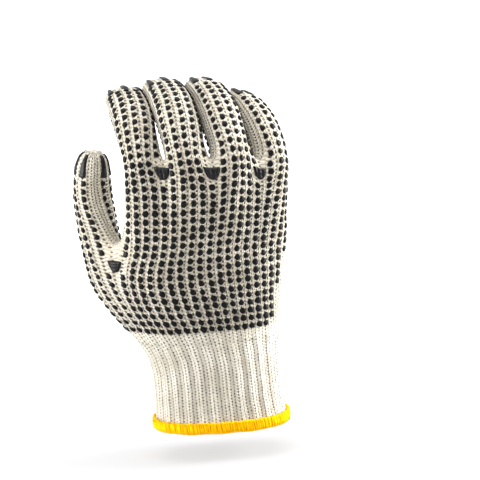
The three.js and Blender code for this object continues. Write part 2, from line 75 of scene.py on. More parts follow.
# Each digit has a strip of columns on its back (even numbers) and one on its palm face (odd ones)
STRIPS = ["thumb", "index", "middle", "ring", "little"]
FAR_SIDE, NEAR_SIDE, TIP = 10, 11, 12
DIGITS = {
    "index": dict(x=-0.745, y=-0.3, up=1, wide=1.01, deep=1, long=0.955, roll=(-4, 12),
                  bend=(17, 97), drift=-13, wales=10, first=8, flat=0.3),
    "middle": dict(x=-0.203, y=-0.55, up=1, wide=1.05, deep=1, long=1.03, roll=(6, 20),
                   bend=(17, 94), drift=-16, wales=10, first=18, flat=0.3),
    "ring": dict(x=0.328, y=-0.35, up=1, wide=0.99, deep=1, long=1.01, roll=(36, 34),
                 bend=(18, 95), drift=-18.5, wales=10, first=28, flat=0.3),
    "little": dict(x=0.8, y=0.22, up=0.905, wide=0.9, deep=0.93, long=0.83, roll=(60, 54),
                   bend=(17, 89), drift=-24.5, wales=8, first=38, flat=0.3),
    "thumb": dict(x=-1.302, y=0.45, up=0.02, wide=1.04, deep=1.05, long=0.78, roll=(-58, -84),
                  bend=(14, -12), drift=-80, wales=8, first=0, flat=0.08, side=0.62),
}
TAPER = dict(
    along=[0, 0.08, 0.18, 0.3, 0.42, 0.54, 0.66, 0.78, 0.88, 0.945, 0.985],
    wide=[0.89, 0.9, 0.96, 1.01, 1.02, 1.01, 0.99, 0.97, 0.93, 0.83, 0.6],
    deep=[1, 1, 0.99, 0.99, 1, 0.99, 0.96, 0.92, 0.84, 0.7, 0.46],
)
CUFF_ROWS = dict(
    up=[0, 0.12, 0.26, 0.43, 0.6, 0.78, 0.9, 1],
    shift=[0, -0.007, -0.02, -0.032, -0.035, -0.054, -0.089, -0.124],
    wide=[1.045, 1.04, 1.015, 1, 1, 1.02, 1.065, 1.12],
    deep=[1.06, 1.05, 1.02, 1, 0.99, 0.98, 0.98, 0.98],
)
HAND_ROWS = dict(
    up=[0, 0.08, 0.18, 0.28, 0.38, 0.49, 0.6, 0.71, 0.81, 0.91, 1],
    thumb_side=[0, 0.14, 0.31, 0.46, 0.63, 0.79, 0.91, 0.98, 0.99, 1.01, 1],
    little_side=[0, 0.05, 0.12, 0.2, 0.3, 0.42, 0.56, 0.7, 0.82, 0.92, 1],
)
CUFF_HEIGHTS = [1.7, 5, 10, 16, 22, 28, 34, 40, 46, 52]
PALM_STEPS = 8
SKIN_PASSES = 14
CROTCH_DEEPER = (1.0, 4.0, 4.5)


def ease(x, low, high):
    """0 below low, 1 above high and a smooth rise between."""
    t = np.clip((x - low) / (high - low), 0, 1)
    return t * t * (3 - 2 * t)


def ring_points(half_wide, half_deep, shares):
    """Points of a squared oval at shares of the way round it, from the thumb side by the back."""
    angle = math.pi + np.linspace(0, 2 * math.pi, RING_STEPS + 1)
    c, s = np.cos(angle), np.sin(angle)
    power = 2 / RING_POWER
    line = np.stack([half_wide * np.sign(c) * np.abs(c) ** power,
                     half_deep * np.sign(s) * np.abs(s) ** power], 1)
    reach = np.concatenate([[0], np.cumsum(np.linalg.norm(np.diff(line, axis=0), axis=1))])
    want = np.mod(shares, 1) * reach[-1]
    return np.stack([np.interp(want, reach, line[:, 0]), np.interp(want, reach, line[:, 1])], 1)


def loop_shares(front, side_share):
    """Where the columns lie round a loop with so many on each face and narrower ones at the sides."""
    face = 0.5 - side_share
    over, round_side = np.arange(front) / front, np.arange(SIDE_WALES) / SIDE_WALES
    return np.concatenate([side_share / 2 + face * over,
                           side_share / 2 + face + side_share * round_side,
                           0.5 + side_share / 2 + face * over,
                           1 - side_share / 2 + side_share * round_side])


def turned(vector, axis, angle):
    """A vector turned about an axis."""
    return (vector * math.cos(angle) + np.cross(axis, vector) * math.sin(angle)
            + axis * axis.dot(vector) * (1 - math.cos(angle)))


def digit_frame(digit, share):
    """Centre of a bent digit at a share of its length, and the ways across it and out of its back."""
    length = digit["long"] * FINGER_LENGTH
    start, end = np.radians(digit["bend"])
    bend = start + (end - start) * share
    radius = length / (end - start)
    heading = math.radians(digit["drift"])
    roll = digit["roll"][0] + (digit["roll"][1] - digit["roll"][0]) * ease(share, 0, 0.6)
    roll = math.radians(roll)
    hinge = np.array([-math.cos(heading), math.sin(heading), 0])
    across = turned(np.array([math.cos(roll), math.sin(roll), 0]), hinge, bend)
    back = turned(np.array([math.sin(roll), -math.cos(roll), 0]), hinge, bend)
    reach = radius * (math.cos(start) - math.cos(bend))
    centre = np.array([
        digit["x"] * PALM_HALF_WIDTH + reach * math.sin(heading),
        digit["y"] * PALM_HALF_DEPTH + reach * math.cos(heading),
        THUMB_CROTCH + digit["up"] * PALM_LENGTH + radius * (math.sin(bend) - math.sin(start)),
    ])
    return centre, across, back


def digit_loop(digit, share):
    """Points round a digit at a share of its length, one to a column."""
    wide = digit["wide"] * FINGER_HALF_WIDTH * np.interp(share, TAPER["along"], TAPER["wide"])
    deep = digit["deep"] * FINGER_HALF_DEPTH * np.interp(share, TAPER["along"], TAPER["deep"])
    deep *= 1 - digit["flat"] * ease(share, 0.5, 0.95)
    natural = digit.get("side", 1.0) * SIDE_WALES / (2 * (digit["wales"] + SIDE_WALES))
    side_share = ROOT_SIDE + (natural - ROOT_SIDE) * ease(share, 0.03, 0.2)
    flat = ring_points(wide, deep, loop_shares(digit["wales"], side_share))
    centre, across, back = digit_frame(digit, share)
    return centre + flat[:, :1] * across - flat[:, 1:] * back


def wrist_loop(height, shares, grow=0.0):
    """Points round the cuff at a height above its edge."""
    up = height / CUFF_LENGTH
    size = {k: np.interp(up, CUFF_ROWS["up"], CUFF_ROWS[k]) for k in ("shift", "wide", "deep")}
    flat = ring_points(WRIST_HALF_WIDTH * size["wide"] + grow,
                       WRIST_HALF_DEPTH * size["deep"] + grow, shares)
    flat[:, 0] += WRIST_HALF_WIDTH * size["shift"]
    return np.column_stack([flat, np.full(len(flat), height)])


def softened(loop, times):
    """A loop with its corners smoothed, pushed out again at each second pass to keep its size."""
    now = loop.copy()
    for n in range(times * 2):
        beside = (np.roll(now, 1, axis=0) + np.roll(now, -1, axis=0)) / 2
        now = now + (beside - now) * (-0.46 if n % 2 else 0.5)
    return now


def evened(loop, *runs):
    """The same line with its columns evenly spaced over each run of them."""
    now = loop.copy()
    for start, end in runs:
        face, count = loop[start:end + 1], end - start
        reach = np.concatenate([[0], np.cumsum(np.linalg.norm(np.diff(face, axis=0), axis=1))])
        for k in range(1, count):
            now[start + k] = [np.interp(reach[-1] * k / count, reach, face[:, a]) for a in range(3)]
    return now


skin_points, quads, quad_knit, quad_strip, quad_part = [], [], [], [], []


def put(points):
    """Add points to the skin and return their numbers."""
    first = len(skin_points)
    skin_points.extend(points)
    return list(range(first, first + len(points)))


def band(low, high, knit, strip, v_low, v_high, part):
    """Quads between two loops of the skin. The sides of the digits are knitted closer."""
    count = len(low)
    for i in range(count):
        j = (i + 1) % count
        quads.append((low[i], low[j], high[j], high[i]))
        close = SIDE_COURSES if strip[i] in (FAR_SIDE, NEAR_SIDE) else 1.0
        quad_knit.append(((knit[i][0], v_low * close), (knit[i][1], v_low * close),
                          (knit[i][1], v_high * close), (knit[i][0], v_high * close)))
        quad_strip.append(strip[i])
        quad_part.append(part)


def columns_of(first, wales):
    """Knit columns and strip numbers round a loop: back, far side, palm, near side."""
    knit, strip = [], []
    owner = {}
    for n, name in enumerate(STRIPS):
        for w in range(DIGITS[name]["wales"]):
            owner[DIGITS[name]["first"] + w] = n
    for w in range(first, first + wales):
        knit.append((w, w + 1))
        strip.append(2 * owner[w])
    for w in range(SIDE_WALES):
        edge = first + wales + w * SIDE_WALE_WIDTH
        knit.append((edge, edge + SIDE_WALE_WIDTH))
        strip.append(FAR_SIDE)
    for w in range(first + wales - 1, first - 1, -1):
        knit.append((PALM_FIRST + FACE_WALES - w - 1, PALM_FIRST + FACE_WALES - w))
        strip.append(2 * owner[w] + 1)
    for w in range(SIDE_WALES):
        edge = PALM_FIRST + FACE_WALES - first + w * SIDE_WALE_WIDTH
        knit.append((edge, edge + SIDE_WALE_WIDTH))
        strip.append(NEAR_SIDE)
    return knit, strip


# Roots of the fingers, welded where neighbours meet
fingers = STRIPS[1:]
fore = [digit_loop(DIGITS[name], 0) for name in fingers]
wales = [DIGITS[name]["wales"] for name in fingers]
across = sum(wales)
back_line, palm_line, web_line = [], [], []
for n, loop in enumerate(fore):
    w = wales[n]
    after = fore[n + 1] if n + 1 < len(fore) else None
    palm_face = loop[w + SIDE_WALES:2 * w + SIDE_WALES + 1][::-1]
    start = 0 if n == 0 else 1
    back_line.extend(loop[start:w])
    palm_line.extend(palm_face[start:w])
    if after is None:
        back_line.append(loop[w])
        palm_line.append(palm_face[w])
    else:
        w2 = wales[n + 1]
        back_line.append((loop[w] + after[0]) / 2)
        palm_line.append((palm_face[w] + after[2 * w2 + SIDE_WALES]) / 2)
        web_line.append((loop[w + 1] + after[2 * w2 + SIDE_WALES + 1]) / 2)
knuckles = np.array(back_line + [fore[-1][wales[-1] + 1]] + palm_line[::-1] + [fore[0][-1]])
for n, deeper in enumerate(CROTCH_DEEPER):
    column = sum(wales[:n + 1])
    for near, share in ((-1, 0.35), (0, 1.0), (1, 0.35)):
        knuckles[column + near, 2] -= deeper * share
        knuckles[2 * across + SIDE_WALES - column - near, 2] -= deeper * share
    web_line[n][2] -= deeper

# The palm section at the thumb crotch and the root of the thumb
flat = ring_points(PALM_HALF_WIDTH, PALM_HALF_DEPTH, loop_shares(across, PALM_SIDE))
turn = math.radians(PALM_TURN)
arch = flat[:, 1] - PALM_ARCH * (1 - (flat[:, 0] / PALM_HALF_WIDTH) ** 2)
palm_ring = np.column_stack([
    flat[:, 0] * math.cos(turn) - arch * math.sin(turn) * PALM_SKEW - PALM_HALF_WIDTH * PALM_SHIFT,
    flat[:, 0] * math.sin(turn) + arch - PALM_HALF_DEPTH * PALM_SINK,
    np.full(len(flat), THUMB_CROTCH),
])
thumb_root = digit_loop(DIGITS["thumb"], 0)
thumb_wales = DIGITS["thumb"]["wales"]
crotch_back = (palm_ring[0] + thumb_root[thumb_wales]) / 2
crotch_palm = (palm_ring[2 * across + SIDE_WALES] + thumb_root[thumb_wales + SIDE_WALES]) / 2
thumb_web = (palm_ring[-1] + thumb_root[thumb_wales + 1]) / 2
union = np.array([*thumb_root[:thumb_wales], crotch_back, *palm_ring[1:2 * across + SIDE_WALES],
                  crotch_palm, *thumb_root[thumb_wales + SIDE_WALES + 1:]])
palm_loop = np.array([crotch_back, *palm_ring[1:2 * across + SIDE_WALES], crotch_palm, thumb_web])

# Cuff rows, then the hand up to the thumb crotch
wrist_shares = loop_shares(FACE_WALES, SIDE_WALES / (2 * (FACE_WALES + SIDE_WALES)))
knit, strip = columns_of(0, FACE_WALES)
row_before, v_before = None, 0
for height in CUFF_HEIGHTS:
    row = put(wrist_loop(height, wrist_shares))
    if row_before:
        band(row_before, row, knit, strip, v_before, height / COURSE, 0)
    row_before, v_before = row, height / COURSE
palm_start = FACE_WALES + SIDE_WALES
soft_union = evened(softened(union, 12), (0, thumb_wales), (thumb_wales, FACE_WALES),
                    (palm_start, palm_start + across), (palm_start + across, palm_start + FACE_WALES))
wrist = wrist_loop(CUFF_LENGTH, wrist_shares)
to_little = ease(soft_union[:, 0] / PALM_HALF_WIDTH, -1.13, 0.75)
for n, up in enumerate(HAND_ROWS["up"]):
    thumb_side, little_side = HAND_ROWS["thumb_side"][n], HAND_ROWS["little_side"][n]
    way = (thumb_side + (little_side - thumb_side) * to_little)[:, None]
    p = wrist + (soft_union - wrist) * way
    p[:, 2] = CUFF_LENGTH + (soft_union[:, 2] - CUFF_LENGTH) * up
    p += (union - soft_union) * up ** 4
    row = put(union if up == 1 else p)
    v = (CUFF_LENGTH + HEEL_LENGTH * up) / COURSE
    band(row_before, row, knit, strip, v_before, v, 0 if n == 0 else 1)
    row_before, v_before = row, v
crotch_row = row_before

# The palm up to the finger crotches
web_id = put([thumb_web])
palm_row = crotch_row[thumb_wales:thumb_wales + 2 * across + SIDE_WALES + 1] + web_id
thumb_row = (crotch_row[:thumb_wales + 1] + web_id
             + crotch_row[thumb_wales + 2 * across + SIDE_WALES:])
soft_knuckles = evened(softened(knuckles, 9), (0, across), (across + 2, 2 * across + 2))
knit, strip = columns_of(DIGITS["index"]["first"], across)
row_before = palm_row
for n in range(1, PALM_STEPS + 1):
    up = n / PALM_STEPS
    p = palm_ring + (soft_knuckles - palm_ring) * ease(up, -0.3, 1.15)
    p[:, 2] = palm_ring[:, 2] + (soft_knuckles[:, 2] - palm_ring[:, 2]) * up
    p += (palm_loop - palm_ring) * (1 - up) ** 4 + (knuckles - soft_knuckles) * up ** 5
    row = put(knuckles if n == PALM_STEPS else p)
    v = (THUMB_CROTCH + PALM_LENGTH * up) / COURSE
    band(row_before, row, knit, strip, v_before, v, 1)
    row_before, v_before = row, v
knuckle_row = row_before
web_ids = [put([w])[0] for w in web_line]

# Fingers and thumb, closed at the tips
for n, name in enumerate(STRIPS):
    digit = DIGITS[name]
    w = digit["wales"]
    if name == "thumb":
        base, v_base = thumb_row, THUMB_CROTCH / COURSE
    else:
        first = digit["first"] - DIGITS["index"]["first"]
        last_palm = 2 * across + SIDE_WALES
        far = web_ids[n - 1] if name != "little" else knuckle_row[across + 1]
        near = web_ids[n - 2] if name != "index" else knuckle_row[-1]
        base = (knuckle_row[first:first + w + 1] + [far]
                + [knuckle_row[last_palm - first - i] for i in range(w, -1, -1)] + [near])
        v_base = FINGER_CROTCH / COURSE
    length = digit["long"] * FINGER_LENGTH
    fade = 0.35 if name == "thumb" else 0.16
    knit, strip = columns_of(digit["first"], w)
    root = digit_loop(digit, 0)
    shift = np.array([skin_points[i] for i in base]) - root
    row_before, v_before = base, v_base
    for along in TAPER["along"][1:]:
        row = put(digit_loop(digit, along) + shift * max(0, 1 - along / fade) ** 2)
        v = v_base + along * length / COURSE
        band(row_before, row, knit, strip, v_before, v, 1)
        row_before, v_before = row, v
    tip = put([digit_frame(digit, 1.0)[0]])[0]
    v = v_base + length / COURSE
    for i, corner in enumerate(row_before):
        after = row_before[(i + 1) % len(row_before)]
        quads.append((corner, after, tip))
        middle = (knit[i][0] + knit[i][1]) / 2
        quad_knit.append(((knit[i][0], v_before), (knit[i][1], v_before), (middle, v)))
        quad_strip.append(TIP)
        quad_part.append(1)

# Ease the skin so that crotches and knuckles run together as cloth does
skin = np.array(skin_points)
links = np.array([(q[i], q[(i + 1) % len(q)]) for q in quads for i in range(len(q))])
degree = np.zeros(len(skin))
np.add.at(degree, links[:, 0], 1)
np.add.at(degree, links[:, 1], 1)
loose = ease(skin[:, 2], CUFF_LENGTH * 0.9, CUFF_LENGTH * 1.15)[:, None]
loose[: len(CUFF_HEIGHTS) * len(wrist_shares)] = 0
for n in range(SKIN_PASSES):
    mean = np.zeros_like(skin)
    np.add.at(mean, links[:, 0], skin[links[:, 1]])
    np.add.at(mean, links[:, 1], skin[links[:, 0]])
    skin += (mean / degree[:, None] - skin) * (-0.47 if n % 2 else 0.5) * loose

control = bpy.data.meshes.new("knit_control")
control.from_pydata((skin / MM).tolist(), [], quads)
knit_map = control.uv_layers.new(name="knit")
knit_map.data.foreach_set("uv", np.array([c for q in quad_knit for c in q], float).ravel())
for name, values in (("strip", quad_strip), ("part", quad_part)):
    layer = control.attributes.new(name, "INT", "FACE")
    layer.data.foreach_set("value", values)
control_piece = bpy.data.objects.new("knit_control", control)
bpy.context.scene.collection.objects.link(control_piece)
rounded = control_piece.modifiers.new("round", "SUBSURF")
rounded.levels = rounded.render_levels = 2
rounded.uv_smooth = "NONE"
smooth = bpy.data.meshes.new_from_object(
    control_piece.evaluated_get(bpy.context.evaluated_depsgraph_get()))
bpy.data.objects.remove(control_piece)


def read(collection, name, size, kind=float):
    """One value of each item of a mesh, as a table."""
    values = np.zeros(len(collection) * size, kind)
    collection.foreach_get(name, values)
    return values.reshape(-1, size) if size > 1 else values


fine = read(smooth.vertices, "co", 3) * MM
fine_out = read(smooth.vertices, "normal", 3)
corner_vertex = read(smooth.loops, "vertex_index", 1, np.int32)
corner_knit = read(smooth.uv_layers["knit"].data, "uv", 2)
face_strip = read(smooth.attributes["strip"].data, "value", 1, np.int32)
face_part = read(smooth.attributes["part"].data, "value", 1, np.int32)
face_start = read(smooth.polygons, "loop_start", 1, np.int32)
face_size = read(smooth.polygons, "loop_total", 1, np.int32)
corner_strip = np.repeat(face_strip, face_size)
face_quad = np.repeat(np.arange(len(quads)), [4 * len(q) for q in quads])
vertex_knit = np.zeros((len(fine), 2))
vertex_knit[corner_vertex] = corner_knit


def levels_of(values):
    """The separate levels among values that repeat to within rounding, and each one's number."""
    ordered = np.sort(values)
    levels = ordered[np.r_[True, np.diff(ordered) > 0.01]]
    return levels, np.searchsorted(levels, values + 0.005, "right") - 1


# Each face of each digit, from hem to fingertip, as a grid over its knit columns and courses
strips = {}
for code in range(2 * len(STRIPS)):
    mine = corner_strip == code
    u = corner_knit[mine, 0]
    column = u if code % 2 == 0 else PALM_FIRST + FACE_WALES - u
    columns, c = levels_of(column)
    courses, r = levels_of(corner_knit[mine, 1])
    grid = np.zeros((len(courses), len(columns)), int)
    grid[r, c] = corner_vertex[mine]
    strips[code] = dict(columns=columns, courses=courses, grid=grid)


def on_strip(code, column, course, surface):
    """Values of a vertex table at knit column and course on one face of a digit's strip."""
    s = strips[code]
    column = np.clip(column, s["columns"][0], s["columns"][-1])
    course = np.clip(course, s["courses"][0], s["courses"][-1])
    c = np.clip(np.searchsorted(s["columns"], column, "right") - 1, 0, len(s["columns"]) - 2)
    r = np.clip(np.searchsorted(s["courses"], course, "right") - 1, 0, len(s["courses"]) - 2)
    tc = ((column - s["columns"][c]) / (s["columns"][c + 1] - s["columns"][c]))[..., None]
    tr = ((course - s["courses"][r]) / (s["courses"][r + 1] - s["courses"][r]))[..., None]
    g = s["grid"]
    low = surface[g[r, c]] * (1 - tc) + surface[g[r, c + 1]] * tc
    high = surface[g[r + 1, c]] * (1 - tc) + surface[g[r + 1, c + 1]] * tc
    return low * (1 - tr) + high * tr


def strip_at(column, palm):
    """The strip with a knit column on the back (0) or the palm face (1)."""
    for n, name in enumerate(STRIPS):
        if column <= DIGITS[name]["first"] + DIGITS[name]["wales"]:
            break
    return 2 * n + palm


# Wale ridges, the deeper 2 by 2 ribs of the cuff and the small unevenness of thick string
RIBS, ROUND_WALES = 27, 96
WALE_RIDGE, RIB_DEPTH, RIB_MIDDLE = 0.12, 1.05, 0.62
UNEVEN, STITCHY = 0.5, 0.16
KNIT_LIFT, PRINT_LIFT = 0.25, 0.7


def round_share(column):
    """Share of the way round the cuff at a knit column."""
    known = [0, FACE_WALES, PALM_FIRST, PALM_FIRST + FACE_WALES, PALM_FIRST + FACE_WALES + 3]
    return np.interp(column, known, [wale / ROUND_WALES for wale in (1, 47, 49, 95, 97)])


u, v = vertex_knit.T
ridge = np.abs(np.sin(np.pi * u)) ** 0.8 - 0.6
rib = 1 - np.abs(np.cos(np.pi * RIBS * round_share(u))) ** 2.2
height_mm = v * COURSE
rib_fade = 1 - ease(height_mm, CUFF_LENGTH * 0.85, CUFF_LENGTH * 1.25)
rib_fade *= 0.6 + 0.4 * ease(height_mm, 4, 14)
cuff_ridge = np.abs(np.sin(np.pi * 4 * RIBS * round_share(u))) ** 0.8 - 0.6
ridge = ridge + (0.5 * cuff_ridge - ridge) * (1 - ease(height_mm, CUFF_LENGTH - 6, CUFF_LENGTH + 4))
uneven = np.array([noise.fractal(Vector(p) / 14, 0.8, 2.1, 3) for p in fine])
stitchy = np.array([noise.noise(Vector(p) / 2.6 + Vector((40, 0, 0))) for p in fine])
rib_lift = RIB_DEPTH * (rib - RIB_MIDDLE) * rib_fade
lift = WALE_RIDGE * ridge + rib_lift + UNEVEN * uneven + STITCHY * stitchy
knitted = fine + fine_out * (lift + KNIT_LIFT)[:, None]
printed = fine + fine_out * (UNEVEN * uneven + PRINT_LIFT + rib_lift)[:, None]

# The inner face of the knit, one column of quads to a wale
CUFF_CLOSER, CLOSER_BELOW = 0.25, CUFF_LENGTH + 8
CROTCH_REACH = 8
control_out = np.zeros_like(skin)
for q in quads:
    a, b, c = skin[q[0]], skin[q[1]], skin[q[2]]
    control_out[list(q)] += np.cross(b - a, c - a)
control_out /= np.linalg.norm(control_out, axis=1)[:, None]
inner_skin = skin - control_out * KNIT_WALL


def skin_mesh(name, part):
    """Outer and inner face of one part of the skin, closed where the part ends."""
    keep = np.flatnonzero(face_part == part)
    spans = [slice(face_start[f], face_start[f] + face_size[f]) for f in keep]
    faces = [corner_vertex[span].tolist() for span in spans]
    corners = np.concatenate([corner_knit[span] for span in spans])
    base = len(knitted)
    inner = [tuple(base + i for i in reversed(q)) for q, p in zip(quads, quad_part) if p == part]
    inner_knit = [c for q, p in zip(quad_knit, quad_part) if p == part for c in reversed(q)]
    edges = {(f[i - 1], f[i]): owner for f, owner in zip(faces, face_quad[keep])
             for i in range(len(f))}
    ends = {}
    for (a, b), owner in edges.items():
        if (b, a) not in edges:
            ends.setdefault(owner, {})[a] = b
    for owner, ahead in ends.items():
        at = next(a for a in ahead if a not in ahead.values())
        line = [at]
        while at in ahead:
            at = ahead[at]
            line.append(at)
        q = quads[owner]
        side = min(range(4), key=lambda i: np.linalg.norm(skin[q[i]] + skin[q[(i + 1) % 4]]
                                                          - fine[line[0]] - fine[line[-1]]))
        inner.append(tuple(line[::-1]) + (base + q[side], base + q[(side + 1) % 4]))
        inner_knit.extend([quad_knit[owner][side]] * (len(line) + 2))
    mesh = bpy.data.meshes.new(name)
    points = np.concatenate([knitted, inner_skin]) / MM
    every = faces + inner
    used = np.unique(np.array([i for f in every for i in f]))
    renumber = np.full(len(points), -1)
    renumber[used] = np.arange(len(used))
    mesh.from_pydata(points[used].tolist(), [], [[int(renumber[i]) for i in f] for f in every])
    corners = np.concatenate([corners, np.array(inner_knit, float)])
    ribs_mm = np.column_stack([round_share(corners[:, 0]) * RIBS, corners[:, 1] * COURSE])
    corners[:, 1] += CUFF_CLOSER * np.minimum(corners[:, 1] - CLOSER_BELOW / COURSE, 0)
    for layer_name, values in (("knit", corners), ("rib", ribs_mm)):
        mesh.uv_layers.new(name=layer_name).data.foreach_set("uv", values.ravel())
    crotches = np.array([thumb_web, crotch_back, crotch_palm, *web_line])
    apart = np.linalg.norm(points[used][:, None] * MM - crotches[None], axis=2).min(1)
    closed = mesh.attributes.new("closed", "FLOAT", "POINT")
    closed.data.foreach_set("value", np.exp(-(apart / CROTCH_REACH) ** 2))
    mesh.shade_smooth()
    return mesh


def node_tools(owner):
    """Nodes and links of a material, world or group, and short ways to add the common nodes."""
    tree = getattr(owner, "node_tree", owner)
    nodes, links = tree.nodes, tree.links

    def link_in(socket, value):
        if isinstance(value, bpy.types.NodeSocket):
            links.new(value, socket)
        else:
            socket.default_value = value

    def maths(operation, a, b=0.0):
        node = nodes.new("ShaderNodeMath")
        node.operation = operation
        link_in(node.inputs[0], a)
        link_in(node.inputs[1], b)
        return node.outputs[0]

    def spread(value, low, high, new_low=0.0, new_high=1.0):
        node = nodes.new("ShaderNodeMapRange")
        node.interpolation_type = "SMOOTHSTEP"
        for socket, v in zip(node.inputs, (value, low, high, new_low, new_high)):
            link_in(socket, v)
        return node.outputs[0]

    def blend(factor, a, b):
        node = nodes.new("ShaderNodeMix")
        node.data_type = "RGBA"
        for number, value in ((0, factor), (6, a), (7, b)):
            link_in(node.inputs[number], value)
        return node.outputs[2]

    def cloud(vector, scale, detail, rough):
        node = nodes.new("ShaderNodeTexNoise")
        links.new(vector, node.inputs["Vector"])
        for name, value in (("Scale", scale), ("Detail", detail), ("Roughness", rough)):
            node.inputs[name].default_value = value
        return node.outputs["Fac"]

    return nodes, links, maths, spread, blend, cloud


def finish(material, colour, height, bump_distance, bump_strength=1.0, **levels):
    """Join colour and relief to a material's shader and set what is the same all over."""
    nodes, links = material.node_tree.nodes, material.node_tree.links
    shader, bump = nodes["Principled BSDF"], nodes.new("ShaderNodeBump")
    links.new(colour, shader.inputs["Base Color"])
    if isinstance(bump_strength, bpy.types.NodeSocket):
        links.new(bump_strength, bump.inputs["Strength"])
    bump.inputs["Distance"].default_value = bump_distance
    links.new(height, bump.inputs["Height"])
    links.new(bump.outputs[0], shader.inputs["Normal"])
    for name, value in levels.items():
        shader.inputs[name.replace("_", " ")].default_value = value
    return material


def node_group(name, vectors, values, results):
    """An empty node group with named inputs, vectors first, and named values that it gives out."""
    group = bpy.data.node_groups.new(name, "ShaderNodeTree")
    sockets = ([(each, "INPUT", "Vector") for each in vectors]
               + [(each, "INPUT", "Float") for each in values]
               + [(each, "OUTPUT", "Float") for each in results])
    for each, way, kind in sockets:
        group.interface.new_socket(each, in_out=way, socket_type="NodeSocket" + kind)
    return group


def string_knit_group():
    """Plain stitches of thick string: height, the holes between wales and the painted shade in the gaps
    between stitch legs.
    """
    group = node_group("string_knit", ["Knit", "Place"], ["Tight"], ["Height", "Hole", "Leg_Gap_Shade"])
    nodes, links, maths, spread, _, cloud = node_tools(group)
    source, sink = nodes.new("NodeGroupInput"), nodes.new("NodeGroupOutput")
    wander = nodes.new("ShaderNodeTexNoise")
    wander.inputs["Scale"].default_value = 260
    wander.inputs["Detail"].default_value = 1.5
    links.new(source.outputs["Place"], wander.inputs["Vector"])
    pull = nodes.new("ShaderNodeVectorMath")
    pull.operation = "MULTIPLY_ADD"
    links.new(wander.outputs["Color"], pull.inputs[0])
    pull.inputs[1].default_value = (0.42, 0.5, 0)
    links.new(source.outputs["Knit"], pull.inputs[2])
    parts = nodes.new("ShaderNodeSeparateXYZ")
    links.new(pull.outputs[0], parts.inputs[0])
    column, course = parts.outputs[0], parts.outputs[1]
    from_middle = maths("ABSOLUTE", maths("SUBTRACT", maths("FRACT", column), 0.5))
    from_middle = maths("MULTIPLY", from_middle, 2.0)
    slanted = maths("FRACT", maths("ADD", course, maths("MULTIPLY", from_middle, 0.55)))
    gap = maths("MULTIPLY", maths("ABSOLUTE", maths("SUBTRACT", slanted, 0.5)), 2.0)
    leg = spread(gap, 0.98, 0.3)
    wale = spread(from_middle, 1.0, 0.35)
    groove = spread(from_middle, 0.0, 0.3, 0.72, 1.0)
    beside = maths("DIVIDE", maths("SUBTRACT", 1.0, from_middle), 0.5)
    staggered = maths("MULTIPLY", maths("ROUND", column), 0.5)
    staggered = maths("ADD", maths("ADD", course, 0.3), staggered)
    above = maths("DIVIDE", maths("SUBTRACT", maths("FRACT", staggered), 0.5), 0.36)
    distance = maths("ADD", maths("MULTIPLY", beside, beside), maths("MULTIPLY", above, above))
    distance = maths("MULTIPLY", maths("SQRT", distance), maths("ADD", 1.0, source.outputs["Tight"]))
    hole = spread(distance, 1.15, 0.7)
    legs = maths("MULTIPLY", maths("ADD", maths("MULTIPLY", leg, 0.5), 0.5), groove)
    height = maths("MULTIPLY", legs, maths("ADD", maths("MULTIPLY", wale, 0.6), 0.4))
    height = maths("SUBTRACT", height, maths("MULTIPLY", hole, 0.7))
    strands = cloud(source.outputs["Place"], 1500, 2.0, 0.6)
    height = maths("ADD", height, maths("MULTIPLY", strands, 0.16))
    links.new(height, sink.inputs["Height"])
    links.new(hole, sink.inputs["Hole"])
    # Painted shade in the gaps between stitch legs
    links.new(maths("SUBTRACT", 1.0, leg), sink.inputs["Leg_Gap_Shade"])
    return group


# The tan is both the string's random tone and the painted shade between stitch legs; the hole colour is
# painted shade seen through the holes
KNIT_CREAM, KNIT_TAN_AND_GAP_SHADE = (0.66, 0.615, 0.53, 1), (0.36, 0.31, 0.215, 1)
KNIT_HOLE_SHADE, YARN_SPECK = (0.035, 0.028, 0.014, 1), (0.35, 0.27, 0.17, 1)
CUFF_CREAM, CUFF_SHADE = (0.73, 0.695, 0.615, 1), (0.47, 0.43, 0.35, 1)
string_knit = string_knit_group()


